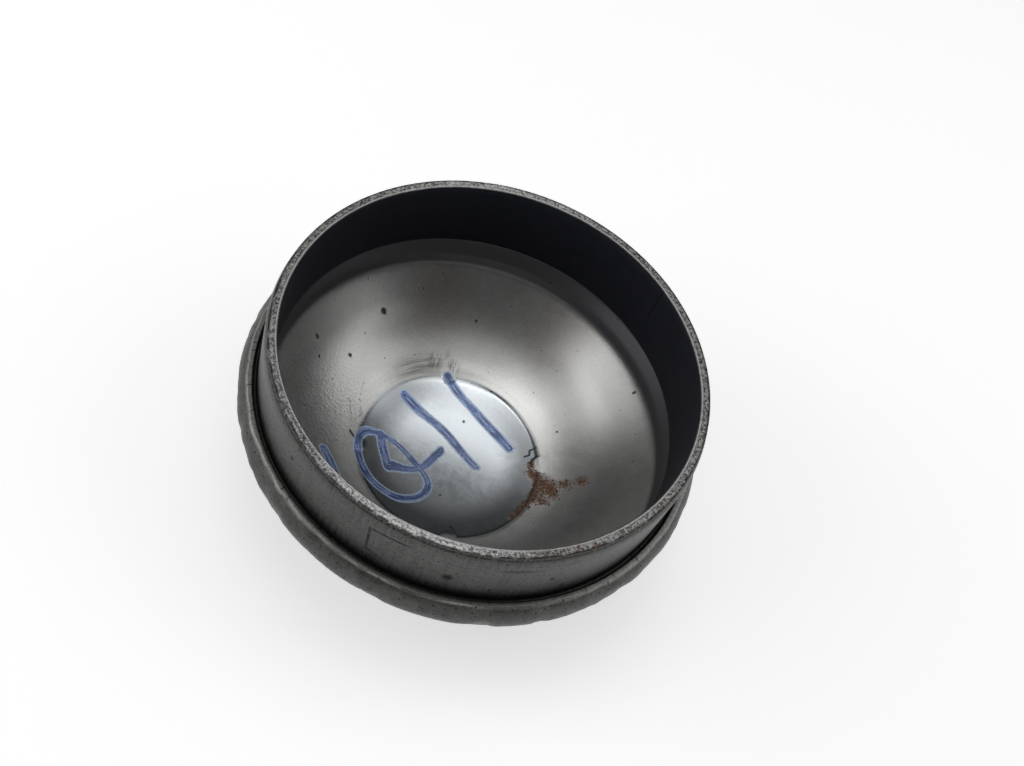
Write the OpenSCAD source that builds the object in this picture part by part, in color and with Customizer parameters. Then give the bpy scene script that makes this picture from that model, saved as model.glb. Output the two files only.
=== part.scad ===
// Grease cap for a wheel hub: one pressed steel cup with a press-in skirt, a flange bead,
// a domed crown and a flat round pad. It stands on the pad with its mouth up.
// Origin at the middle of the pad's underside, +Z along the cap's axis towards the mouth.

/* [Skirt] */
// Outside diameter of the skirt, the size that the hub bore takes
skirt_d = 62; // [56:0.5:68]
// Thickness of the sheet
sheet = 1.7; // [1.2:0.1:1.9]
// Height of the skirt above the flange seat
skirt_h = 11; // [8:0.5:16]
// Height of the lead-in on the outside of the mouth
lead_h = 1.2; // [0.6:0.1:2]
// Amount that the lead-in takes off the skirt's radius
lead_w = 0.35; // [0.2:0.05:0.5]
// Break on the inside edge of the mouth
mouth_break = 0.15; // [0.1:0.05:0.3]

/* [Flange] */
// How far the bead stands out past the skirt
bead_out = 2.7; // [2.4:0.1:3.2]
// Radius of the bead's round outside
bead_r = 3.4; // [3.2:0.1:3.8]
// Depth of the bead's centre below the flange seat
bead_drop = 2.7; // [2.4:0.1:3]
// Width of the relief groove at the skirt's root
groove_w = 0.7; // [0.4:0.1:0.9]
// Depth of the relief groove below the flange seat
groove_depth = 0.9; // [0.6:0.1:1]
// Height from the dome's upper edge to the flange seat
shoulder_h = 7; // [6.6:0.1:8]
// How far the inside of the bead is pushed out past the skirt's bore
bulge_out = 1.9; // [1.2:0.1:2.1]
// Radius of that inside bulge
bulge_r = 1; // [0.8:0.1:1.2]
// Rounding where the skirt's bore ends at the bulge
bore_end_r = 0.8; // [0.4:0.1:1]

/* [Crown] */
// Inside radius of the dome's curve
dome_r = 22; // [20:0.5:28]
// Height from the dome's foot to its upper edge
dome_depth = 10.3; // [9:0.1:12]
// How much smaller the dome's upper edge is than the skirt's bore, in radius
dome_step = 0.4; // [0.2:0.1:0.8]

/* [Pad] */
// Diameter of the recessed pad, inside, at its upper edge
pad_d = 29.2; // [24:0.2:32]
// Depth that the pad's edge is pushed down below the dome
pad_step = 0.35; // [0.3:0.05:0.8]
// Slope of the pad's step, taken off its radius
pad_slope = 0.45; // [0.3:0.05:0.9]
// How far the middle of the pad is dished below its edge
pad_dish = 0.9; // [0.5:0.05:1.1]
// Metal between the inside step and the outside one
step_wall = 0.6; // [0.4:0.1:0.9]
// Rounding round the pad's underside
pad_foot_r = 0.4; // [0.2:0.1:0.5]
// Number of half-round lugs on the pad's edge
lug_count = 4; // [3:1:6]
// Radius of one lug
lug_r = 1.3; // [1:0.05:1.6]
// How far a lug reaches in over the pad
lug_reach = 1.4; // [1.2:0.1:1.6]
// Turn of the first lug from +X
lug_turn = 20; // [0:5:85]

/* [Hidden] */
$fn = 96;
eps = 0.01;

skirt_r = skirt_d / 2;
bore_r = skirt_r - sheet;
pad_r = pad_d / 2;

// Heights, from the pad's underside up.
pad_floor_z = sheet;
pad_edge_z = sheet + pad_dish;
pad_top_z = pad_edge_z + pad_step;
dome_edge_r = bore_r - dome_step;
dome_edge_z = pad_top_z + dome_depth;
seat_z = dome_edge_z + shoulder_h;
mouth_z = seat_z + skirt_h;

// Centre of the dome's curve, from its foot, its upper edge and its radius.
dome_foot = [pad_r, pad_top_z];
dome_edge = [dome_edge_r, dome_edge_z];
dome_c = arc_centre(dome_foot, dome_edge, dome_r);

// Sphere that dishes the pad's floor.
pad_floor_r = pad_r - pad_slope;
dish_r = (pow(pad_floor_r, 2) + pow(pad_dish, 2)) / (2 * pad_dish);

// Outside: bead, shoulder and dome.
bead_c = [skirt_r + bead_out - bead_r, seat_z - bead_drop];
dome_out_r = dome_r + sheet;
shoulder_p = dome_c + ray(heading(dome_edge - dome_c)) * dome_out_r;
bead_t = tangent_point(shoulder_p, bead_c, bead_r, -1);

// Inside: bore, bulge and dome.
bulge_c = [bore_r + bulge_out - bulge_r, seat_z - bead_drop - 0.1];
bore_end = [bore_r, seat_z - sheet * 0.7];
bulge_low = tangent_point(dome_edge, bulge_c, bulge_r, -1);
bulge_high = tangent_point(bore_end, bulge_c, bulge_r, 1);

// Outside of the pad.
foot_r = pad_r - pad_slope + step_wall;

// Centre of the arc of radius r that runs from a to b and bulges outwards and down.
function arc_centre(a, b, r) =
    let (h = norm(b - a) / 2)
    (a + b) / 2 + ray(heading(b - a) + 90) * sqrt(r * r - h * h);

// Direction of a vector, and the vector of a direction.
function heading(v) = atan2(v[1], v[0]);
function ray(a) = [cos(a), sin(a)];

// Point where the line from p touches a circle at c, on the side that turn gives.
function tangent_point(p, c, r, turn) =
    let (d = norm(c - p), a = heading(c - p) + turn * asin(r / d))
    p + ray(a) * sqrt(d * d - r * r);

// What a rounding takes away at corner c between the straight sides that run towards a and b.
module corner(c, a, b, r) {
    ha = heading(a - c);
    hb = heading(b - c);
    half = acos(ray(ha) * ray(hb)) / 2;
    mid = heading(ray(ha) + ray(hb));
    difference() {
        polygon([
            c - ray(mid) * eps,
            c + ray(ha) * r / tan(half),
            c + ray(mid) * r / sin(half),
            c + ray(hb) * r / tan(half)
        ]);
        translate(c + ray(mid) * r / sin(half))
            circle(r = r);
    }
}

// Everything below height z, out to the widest radius.
module below(z) {
    translate([0, -10])
        square([skirt_r + bead_out + 5, z + 10]);
}

// Everything above height z.
module above(z) {
    translate([0, z])
        square([skirt_r + bead_out + 5, mouth_z + 10 - z]);
}

// Outline of the cap's outside, in radius and height.
module outside_outline() {
    difference() {
        union() {
            // Skirt with its lead-in.
            polygon([
                [0, shoulder_p[1]],
                [skirt_r, shoulder_p[1] + 3],
                [skirt_r, mouth_z - lead_h],
                [skirt_r - lead_w, mouth_z],
                [0, mouth_z]
            ]);
            // Flange bead, cut flat at the seat.
            intersection() {
                translate(bead_c)
                    circle(r = bead_r);
                below(seat_z);
            }
            // Shoulder from the bead down to the dome.
            polygon([[0, shoulder_p[1]], shoulder_p, bead_t, bead_c, [0, bead_c[1]]]);
            // Dome, a plain curve that carries on flat over the pad.
            intersection() {
                union() {
                    translate(dome_c)
                        circle(r = dome_out_r);
                    translate([0, dome_c[1] - dome_out_r])
                        square([dome_c[0], dome_out_r]);
                }
                below(shoulder_p[1] + eps);
            }
            // Pad, proud of the dome by its step.
            difference() {
                polygon([[0, 0], [foot_r, 0], [foot_r + pad_slope, pad_top_z], [0, pad_top_z]]);
                corner([foot_r, 0], [0, 0], [foot_r + pad_slope, pad_top_z], pad_foot_r);
            }
        }
        root_groove();
    }
}

// Relief groove between the skirt's root and the flange seat, round at the bottom.
module root_groove() {
    translate([skirt_r + groove_w / 2, seat_z - groove_depth + groove_w / 2])
        circle(d = groove_w);
    translate([skirt_r, seat_z - groove_depth + groove_w / 2])
        square([groove_w, groove_depth]);
}

// Outline of the hollow above the pad, in radius and height.
module hollow_outline() {
    // Bore of the skirt, with the mouth's inside break.
    polygon([
        [0, bore_end[1]],
        bore_end,
        [bore_r, mouth_z - mouth_break],
        [bore_r + mouth_break * 2, mouth_z + mouth_break],
        [0, mouth_z + mouth_break]
    ]);
    // Bulge inside the bead.
    translate(bulge_c)
        circle(r = bulge_r);
    polygon([[0, dome_edge_z], dome_edge, bulge_low, bulge_c, bulge_high, bore_end, [0, bore_end[1]]]);
    corner(bore_end, [bore_r, mouth_z], bulge_high, bore_end_r);
    // Dome, down to the pad.
    intersection() {
        union() {
            translate(dome_c)
                circle(r = dome_r);
            translate([0, dome_c[1] - dome_r])
                square([dome_c[0], dome_r]);
        }
        below(dome_edge_z + eps);
        above(pad_top_z - pad_step * 0.9);
    }
}

// Half-round lug that reaches in over the pad's edge.
module lug() {
    translate([pad_r - lug_reach + lug_r, 0, pad_floor_z - 1])
        cylinder(r = lug_r, h = pad_dish + pad_step + 2);
}

// Outline of the pad's recess: a sloped step round a dished floor with a flat middle.
module recess_outline() {
    rise = pad_slope / pad_step;
    intersection() {
        polygon([
            [0, pad_floor_z],
            [pad_r - (pad_top_z - pad_floor_z) * rise, pad_floor_z],
            [pad_r + eps * rise, pad_top_z + eps],
            [0, pad_top_z + eps]
        ]);
        translate([0, pad_floor_z + dish_r - eps])
            circle(r = dish_r, $fn = 1440);
    }
}

// Recess of the pad, with the lugs left standing in it.
module pad_recess() {
    difference() {
        rotate_extrude()
            recess_outline();
        for (i = [0 : lug_count - 1])
            rotate([0, 0, lug_turn + i * 360 / lug_count])
                lug();
    }
}

module cap() {
    color([0.44, 0.44, 0.45])
        difference() {
            rotate_extrude()
                outside_outline();
            rotate_extrude()
                hollow_outline();
            pad_recess();
        }
}

cap();
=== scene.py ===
"""Looks for a wheel hub's grease cap: one pressed steel cup that stands mouth up on its pad.

The shell is turned from one outline with Geometry Nodes, and its steel shows the drawn, sheared,
rubbed and rusty places of the real cap. All sizes are millimetres until they reach Blender.
"""

import logging
import math
from dataclasses import dataclass, field
from enum import Enum
from typing import Iterable, Sequence, Union

import bpy
from mathutils import Matrix, Vector


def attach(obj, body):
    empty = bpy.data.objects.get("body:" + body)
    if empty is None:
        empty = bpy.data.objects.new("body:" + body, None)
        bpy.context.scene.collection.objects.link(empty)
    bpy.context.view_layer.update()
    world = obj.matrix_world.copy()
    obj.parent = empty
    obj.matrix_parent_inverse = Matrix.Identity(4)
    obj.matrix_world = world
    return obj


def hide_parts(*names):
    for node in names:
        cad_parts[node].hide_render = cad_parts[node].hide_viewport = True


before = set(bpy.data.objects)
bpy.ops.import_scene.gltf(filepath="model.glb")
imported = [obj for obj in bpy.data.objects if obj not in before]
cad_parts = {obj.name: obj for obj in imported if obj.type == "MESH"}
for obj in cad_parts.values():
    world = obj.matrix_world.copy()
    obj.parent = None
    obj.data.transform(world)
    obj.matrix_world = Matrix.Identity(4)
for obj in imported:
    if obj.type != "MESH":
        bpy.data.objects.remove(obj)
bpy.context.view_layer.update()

log = logging.getLogger("grease_cap")

MM = 0.001
BODY = "root"
NODE = "cap"

Number = Union[int, float]
Pair = tuple[float, float]
Line = tuple[Pair, ...]
Colour = tuple[float, float, float]


class Reading(Enum):
    """What a value that is read off another geometry holds."""

    NUMBER = "FLOAT"
    PLACE = "FLOAT_VECTOR"


class Wire:
    """One output in a node tree, with arithmetic that adds the Math nodes for it."""

    def __init__(self, tree: bpy.types.NodeTree, socket: bpy.types.NodeSocket) -> None:
        """Wraps a socket.

        Args:
            tree: The tree that the socket's node is in.
            socket: An output socket that carries a number.
        """
        self.tree = tree
        self.socket = socket

    def maths(self, operation: str, *values: Union["Wire", Number], clamp: bool = False) -> "Wire":
        """Adds one Math node.

        Args:
            operation: What the node works out.
            values: What it works on.
            clamp: Whether the result is kept from 0 to 1.

        Returns:
            The result.
        """
        settings = {"operation": operation, "use_clamp": clamp}
        node = add_node(self.tree, "ShaderNodeMath", settings, dict(enumerate(values)))
        return Wire(self.tree, node.outputs[0])

    def __add__(self, other: Union["Wire", Number]) -> "Wire":
        """Sum."""
        return self.maths("ADD", self, other)

    def __radd__(self, other: Number) -> "Wire":
        """Sum with a number on the left."""
        return self.maths("ADD", other, self)

    def __sub__(self, other: Union["Wire", Number]) -> "Wire":
        """Difference."""
        return self.maths("SUBTRACT", self, other)

    def __rsub__(self, other: Number) -> "Wire":
        """Difference with a number on the left."""
        return self.maths("SUBTRACT", other, self)

    def __mul__(self, other: Union["Wire", Number]) -> "Wire":
        """Product."""
        return self.maths("MULTIPLY", self, other)

    def __rmul__(self, other: Number) -> "Wire":
        """Product with a number on the left."""
        return self.maths("MULTIPLY", other, self)

    def __truediv__(self, other: Union["Wire", Number]) -> "Wire":
        """Quotient."""
        return self.maths("DIVIDE", self, other)

    def __neg__(self) -> "Wire":
        """Negative."""
        return self.maths("MULTIPLY", self, -1.0)

    def __pow__(self, other: Number) -> "Wire":
        """Power."""
        return self.maths("POWER", self, other)

    def root(self) -> "Wire":
        """Square root."""
        return self.maths("SQRT", self)

    def size(self) -> "Wire":
        """Absolute value."""
        return self.maths("ABSOLUTE", self)

    def least(self, other: Union["Wire", Number]) -> "Wire":
        """The smaller of two."""
        return self.maths("MINIMUM", self, other)

    def most(self, other: Union["Wire", Number]) -> "Wire":
        """The larger of two."""
        return self.maths("MAXIMUM", self, other)

    def sine(self) -> "Wire":
        """Sine of radians."""
        return self.maths("SINE", self)

    def cosine(self) -> "Wire":
        """Cosine of radians."""
        return self.maths("COSINE", self)

    def heading(self, across: "Wire") -> "Wire":
        """Angle in radians of the vector (across, self)."""
        return self.maths("ARCTAN2", self, across)

    def folded(self, period: float) -> "Wire":
        """Wraps into plus or minus half a period."""
        return self.maths("WRAP", self, -period / 2, period / 2)

    def over(self, limit: Union["Wire", Number]) -> "Wire":
        """1 where this is larger, else 0."""
        return self.maths("GREATER_THAN", self, limit)

    def whole(self) -> "Wire":
        """Nearest whole number."""
        return self.maths("ROUND", self)

    def unit(self) -> "Wire":
        """Clamped to 0 to 1."""
        return self.maths("ADD", self, 0.0, clamp=True)

    def rise(self, low: float, high: float) -> "Wire":
        """Makes a smooth step.

        Args:
            low: Where the step is 0.
            high: Where the step is 1; it may be the smaller of the two.

        Returns:
            The step.
        """
        flip = low > high
        ends = {"From Min": min(low, high), "From Max": max(low, high)}
        steps = {"To Min": 1.0 if flip else 0.0, "To Max": 0.0 if flip else 1.0}
        settings = {"interpolation_type": "SMOOTHSTEP"}
        node = add_node(self.tree, "ShaderNodeMapRange", settings, {"Value": self, **ends, **steps})
        return Wire(self.tree, node.outputs["Result"])

    def bump(self, middle: float, reach: float) -> "Wire":
        """1 at middle, falling smoothly to 0 at reach either side."""
        return (self - middle).size().rise(reach, 0.0)


def join(tree: bpy.types.NodeTree, value: object, socket: bpy.types.NodeSocket) -> None:
    """Puts a wire, a socket or a plain value into an input.

    Args:
        tree: The tree that the input's node is in.
        value: A Wire, an output socket, a number or a tuple.
        socket: The input.
    """
    if isinstance(value, Wire):
        tree.links.new(value.socket, socket)
    elif isinstance(value, bpy.types.NodeSocket):
        tree.links.new(value, socket)
    else:
        socket.default_value = value


def add_node(
    tree: bpy.types.NodeTree,
    kind: str,
    settings: dict[str, object] | None = None,
    inputs: dict[str | int, object] | None = None,
) -> bpy.types.Node:
    """Adds one node, sets its properties and then fills its inputs.

    Args:
        tree: The tree that it goes in.
        kind: The node's type.
        settings: Properties of the node itself, such as a Math node's operation.
        inputs: Values or links for its sockets, by name or by place.

    Returns:
        The node.
    """
    node = tree.nodes.new(kind)
    for key, value in (settings or {}).items():
        setattr(node, key, value)
    for key, value in (inputs or {}).items():
        join(tree, value, node.inputs[key])
    return node


def blend(tree: bpy.types.NodeTree, under: object, over: object, share: object) -> bpy.types.NodeSocket:
    """Mixes two colours.

    Args:
        tree: The tree that the Mix node goes in.
        under: Colour where share is 0.
        over: Colour where share is 1.
        share: How much of the second colour.

    Returns:
        The mixed colour.
    """
    node = add_node(tree, "ShaderNodeMix", {"data_type": "RGBA"}, {0: share})
    colours = [s for s in node.inputs if s.type == "RGBA"]
    for socket, value in zip(colours, (under, over)):
        join(tree, (*value, 1.0) if isinstance(value, tuple) else value, socket)
    return next(s for s in node.outputs if s.type == "RGBA")


@dataclass(frozen=True)
class CapSizes:
    """The cap's sizes in millimetres, the same named values as its solid has."""

    skirt_d: float = 62.0
    sheet: float = 1.7
    skirt_h: float = 11.0
    lead_h: float = 1.2
    lead_w: float = 0.35
    mouth_break: float = 0.15
    bead_out: float = 2.7
    bead_r: float = 3.4
    bead_drop: float = 2.7
    groove_w: float = 0.7
    groove_depth: float = 0.9
    shoulder_h: float = 7.0
    bulge_out: float = 1.9
    bulge_r: float = 1.0
    bore_end_r: float = 0.8
    dome_r: float = 22.0
    dome_depth: float = 10.3
    dome_step: float = 0.4
    pad_d: float = 29.2
    pad_step: float = 0.35
    pad_slope: float = 0.45
    pad_dish: float = 0.9
    step_wall: float = 0.6
    pad_foot_r: float = 0.4
    lug_count: int = 4
    lug_r: float = 1.3
    lug_reach: float = 1.4
    lug_turn: float = 20.0

    @property
    def skirt_r(self) -> float:
        """Outside radius of the skirt."""
        return self.skirt_d / 2

    @property
    def bore_r(self) -> float:
        """Inside radius of the skirt."""
        return self.skirt_r - self.sheet

    @property
    def pad_r(self) -> float:
        """Radius of the pad's upper edge."""
        return self.pad_d / 2

    @property
    def pad_edge(self) -> Pair:
        """Edge of the dished pad, at the foot of its step."""
        return self.pad_r - self.pad_slope, self.sheet + self.pad_dish

    @property
    def pad_top_z(self) -> float:
        """Height of the dome's foot, where the pad's step starts."""
        return self.pad_edge[1] + self.pad_step

    @property
    def dome_edge(self) -> Pair:
        """Upper edge of the dome, inside."""
        return self.bore_r - self.dome_step, self.pad_top_z + self.dome_depth

    @property
    def dome_c(self) -> Pair:
        """Centre of the arc that the dome is turned from."""
        a, b = (self.pad_r, self.pad_top_z), self.dome_edge
        half = math.dist(a, b) / 2
        turn = heading(a, b) + math.pi / 2
        reach = math.sqrt(self.dome_r**2 - half**2)
        return (a[0] + b[0]) / 2 + reach * math.cos(turn), (a[1] + b[1]) / 2 + reach * math.sin(turn)

    @property
    def seat_z(self) -> float:
        """Height of the flange seat."""
        return self.dome_edge[1] + self.shoulder_h

    @property
    def mouth_z(self) -> float:
        """Height of the mouth."""
        return self.seat_z + self.skirt_h

    @property
    def bead_c(self) -> Pair:
        """Centre of the flange bead's round outside."""
        return self.skirt_r + self.bead_out - self.bead_r, self.seat_z - self.bead_drop

    @property
    def bulge_c(self) -> Pair:
        """Centre of the bulge inside the bead."""
        return self.bore_r + self.bulge_out - self.bulge_r, self.seat_z - self.bead_drop - 0.1

    @property
    def bore_end(self) -> Pair:
        """Where the skirt's bore ends above the bulge."""
        return self.bore_r, self.seat_z - self.sheet * 0.7

    @property
    def shoulder(self) -> Pair:
        """Where the shoulder meets the dome, outside."""
        turn = heading(self.dome_c, self.dome_edge)
        reach = self.dome_r + self.sheet
        return self.dome_c[0] + reach * math.cos(turn), self.dome_c[1] + reach * math.sin(turn)

    @property
    def foot_r(self) -> float:
        """Radius of the pad's underside."""
        return self.pad_r - self.pad_slope + self.step_wall


def heading(start: Pair, end: Pair) -> float:
    """Direction from one point to another, in radians."""
    return math.atan2(end[1] - start[1], end[0] - start[0])


def touch(point: Pair, centre: Pair, radius: float, side: int) -> Pair:
    """Where the line from a point touches a circle.

    Args:
        point: Where the line starts.
        centre: The circle's centre.
        radius: The circle's radius.
        side: 1 or -1, which of the two lines.

    Returns:
        The point on the circle.
    """
    far = math.dist(point, centre)
    turn = heading(point, centre) + side * math.asin(radius / far)
    reach = math.sqrt(far * far - radius * radius)
    return point[0] + reach * math.cos(turn), point[1] + reach * math.sin(turn)


@dataclass
class Ring:
    """One turned ring of the shell: where it is and what is done to it."""

    r: float
    z: float
    inside: float = 0.0
    rim: float = 0.0
    floor_pull: float = 0.0
    dome_pull: float = 0.0
    bead: float = 0.0
    soft: float = 0.0


# Rings nearer than this, in millimetres, are one.
SAME_PLACE = 1e-4
MARKS = ("inside", "rim", "floor_pull", "dome_pull", "bead", "soft")


@dataclass
class Outline:
    """Collects rings along the cap's outline, in the order that turns its faces outwards."""

    rings: list[Ring] = field(default_factory=list)

    def add(self, r: float, z: float, **marks: float) -> None:
        """Adds one ring, unless it lies on the last one.

        Args:
            r: Its radius.
            z: Its height.
            marks: What the ring carries.
        """
        if self.rings and math.dist((r, z), (self.rings[-1].r, self.rings[-1].z)) < SAME_PLACE:
            return
        self.rings.append(Ring(r, z, **marks))

    def line(self, end: Pair, steps: int, **marks: float) -> None:
        """Adds rings along a straight side.

        Args:
            end: Where the side ends.
            steps: How many rings it gets.
            marks: What the rings carry.
        """
        start = (self.rings[-1].r, self.rings[-1].z)
        for i in range(1, steps + 1):
            t = i / steps
            self.add(start[0] + (end[0] - start[0]) * t, start[1] + (end[1] - start[1]) * t, **marks)

    def arc(self, centre: Pair, radius: float, first: float, last: float, steps: int, **marks: float) -> None:
        """Adds rings along an arc.

        Args:
            centre: The arc's centre.
            radius: Its radius.
            first: Its first angle in radians.
            last: Its last angle in radians.
            steps: How many parts it is cut into.
            marks: What the rings carry.
        """
        for i in range(steps + 1):
            a = first + (last - first) * i / steps
            self.add(centre[0] + radius * math.cos(a), centre[1] + radius * math.sin(a), **marks)

    def corner(self, at: Pair, end: Pair, radius: float, steps: int, **marks: float) -> None:
        """Rounds the corner between the last ring and a coming straight side.

        Args:
            at: The sharp corner.
            end: A point further along the coming side.
            radius: The rounding's radius.
            steps: How many parts it is cut into.
            marks: What the rings carry.
        """
        start = (self.rings[-1].r, self.rings[-1].z)
        back, ahead = heading(at, start), heading(at, end)
        half = math.acos(max(-1.0, min(1.0, math.cos(back - ahead)))) / 2
        middle = math.atan2(math.sin(back) + math.sin(ahead), math.cos(back) + math.cos(ahead))
        away = radius / math.sin(half)
        c = (at[0] + away * math.cos(middle), at[1] + away * math.sin(middle))
        reach = radius / math.tan(half)
        p = (at[0] + reach * math.cos(back), at[1] + reach * math.sin(back))
        q = (at[0] + reach * math.cos(ahead), at[1] + reach * math.sin(ahead))
        first, last = heading(c, p), heading(c, q)
        last = first + (last - first + math.pi) % (2 * math.pi) - math.pi
        self.arc(c, radius, first, last, steps, **marks)


class Plan:
    """A Geometry Nodes tree under construction."""

    def __init__(self, name: str) -> None:
        """Starts an empty tree with one geometry in and one out.

        Args:
            name: The tree's name.
        """
        self.tree = bpy.data.node_groups.new(name, "GeometryNodeTree")
        self.tree.interface.new_socket("Geometry", in_out="INPUT", socket_type="NodeSocketGeometry")
        self.tree.interface.new_socket("Geometry", in_out="OUTPUT", socket_type="NodeSocketGeometry")
        self.values: dict[str, object] = {}
        self.entry = self.node("NodeGroupInput")
        self.exit = self.node("NodeGroupOutput")

    def given(self, name: str, kind: str, value: object) -> bpy.types.NodeSocket:
        """Adds a named input.

        Args:
            name: The input's name.
            kind: Float, Int, Object or Material.
            value: What the modifier is given for it.

        Returns:
            The socket that carries it inside the tree.
        """
        item = self.tree.interface.new_socket(name, in_out="INPUT", socket_type=f"NodeSocket{kind}")
        self.values[item.identifier] = value
        return self.entry.outputs[name]

    def size(self, name: str, value: float) -> Wire:
        """Adds a named number input and wraps it."""
        return Wire(self.tree, self.given(name, "Float", value))

    def node(self, kind: str, settings: dict[str, object] | None = None, **inputs: object) -> bpy.types.Node:
        """Adds a node.

        Args:
            kind: The node's type.
            settings: Properties of the node itself.
            inputs: Values for its inputs, with underscores for spaces.

        Returns:
            The node.
        """
        return add_node(self.tree, kind, settings, {k.replace("_", " "): v for k, v in inputs.items()})

    def position(self) -> tuple[Wire, Wire, Wire]:
        """The three parts of the current position."""
        place = self.node("GeometryNodeInputPosition").outputs[0]
        split = self.node("ShaderNodeSeparateXYZ", None, Vector=place)
        return tuple(Wire(self.tree, s) for s in split.outputs)

    def noise(self, scale: Number, seed: float, detail: float) -> Wire:
        """Noise over the position.

        Args:
            scale: Cycles per metre.
            seed: A fixed seed.
            detail: Octaves.

        Returns:
            Noise around 0.5.
        """
        place = self.node("GeometryNodeInputPosition").outputs[0]
        settings = {"noise_dimensions": "4D"}
        made = self.node("ShaderNodeTexNoise", settings, Vector=place, W=seed, Scale=scale, Detail=detail)
        return Wire(self.tree, made.outputs[0])

    def vector(self, x: object, y: object, z: object) -> bpy.types.NodeSocket:
        """Joins three numbers."""
        return self.node("ShaderNodeCombineXYZ", None, X=x, Y=y, Z=z).outputs[0]

    def sample(
        self, source: bpy.types.NodeSocket, value: bpy.types.NodeSocket, kind: Reading, index: Wire
    ) -> bpy.types.NodeSocket:
        """Reads a value at one point of another geometry.

        Args:
            source: The other geometry.
            value: What is read there.
            kind: What the value holds.
            index: Which point it is read at.

        Returns:
            The value.
        """
        settings = {"data_type": kind.value, "domain": "POINT"}
        made = self.node("GeometryNodeSampleIndex", settings, Geometry=source, Value=value, Index=index)
        return made.outputs[0]

    def keep(self, geometry: bpy.types.NodeSocket, name: str, value: object) -> bpy.types.NodeSocket:
        """Stores a number on every point, for the material to read.

        Args:
            geometry: Whose points they are.
            name: The number's name.
            value: The number.

        Returns:
            The geometry with the number on it.
        """
        settings = {"data_type": "FLOAT", "domain": "POINT"}
        inputs = {"Geometry": geometry, "Name": name, "Value": value}
        return self.node("GeometryNodeStoreNamedAttribute", settings, **inputs).outputs[0]

    def stored(self, name: str) -> bpy.types.NodeSocket:
        """Reads a number stored on the points."""
        return self.node("GeometryNodeInputNamedAttribute", {"data_type": "FLOAT"}, Name=name).outputs[0]

    def chance(self, low: object, high: object, seed: int) -> Wire:
        """A random number for every element.

        Args:
            low: The least that it is.
            high: The most that it is.
            seed: A fixed seed.

        Returns:
            The number.
        """
        node = self.node("FunctionNodeRandomValue", {"data_type": "FLOAT"}, Seed=seed)
        ends = [i for i in node.inputs if i.type == "VALUE"]
        join(self.tree, low, ends[0])
        join(self.tree, high, ends[1])
        return Wire(self.tree, next(o for o in node.outputs if o.type == "VALUE"))

    def finish(self, geometry: bpy.types.NodeSocket, material: bpy.types.NodeSocket) -> None:
        """Ends the tree with Realize Instances and Set Material.

        Args:
            geometry: The finished geometry.
            material: The input that holds its material.
        """
        solid = self.node("GeometryNodeRealizeInstances", None, Geometry=geometry).outputs[0]
        dressed = self.node("GeometryNodeSetMaterial", None, Geometry=solid, Material=material).outputs[0]
        join(self.tree, dressed, self.exit.inputs[0])


def grown(source: bpy.types.Object, plan: Plan, name: str) -> bpy.types.Object:
    """Runs a tree on an object and keeps the result as a plain mesh.

    Args:
        source: The object whose mesh the tree starts from.
        plan: The tree and the values of its inputs.
        name: Name of the finished piece.

    Returns:
        A new object with the finished mesh; the source is removed.
    """
    modifier = source.modifiers.new(plan.tree.name, "NODES")
    modifier.node_group = plan.tree
    for identifier, value in plan.values.items():
        modifier[identifier] = value
    graph = bpy.context.evaluated_depsgraph_get()
    graph.update()
    settled = source.evaluated_get(graph)
    mesh = bpy.data.meshes.new_from_object(settled, preserve_all_data_layers=True, depsgraph=graph)
    mesh.name = name
    bpy.data.objects.remove(source)
    made = bpy.data.objects.new(name, mesh)
    bpy.context.scene.collection.objects.link(made)
    return made


def plain_mesh(name: str, points: Iterable[Sequence[float]], edges: Iterable[Pair] = ()) -> bpy.types.Object:
    """Makes an object of points and edges, as a tree's starting geometry.

    Args:
        name: The object's name.
        points: Where the points are, in metres.
        edges: Which points are joined.

    Returns:
        The object.
    """
    mesh = bpy.data.meshes.new(name)
    mesh.from_pydata([tuple(p) for p in points], list(edges), [])
    made = bpy.data.objects.new(name, mesh)
    bpy.context.scene.collection.objects.link(made)
    return made


@dataclass(frozen=True)
class Spot:
    """A soft spot: its place and its reach in millimetres, and how strong it is."""

    x: float
    y: float
    reach: float
    strength: float = 1.0


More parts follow.
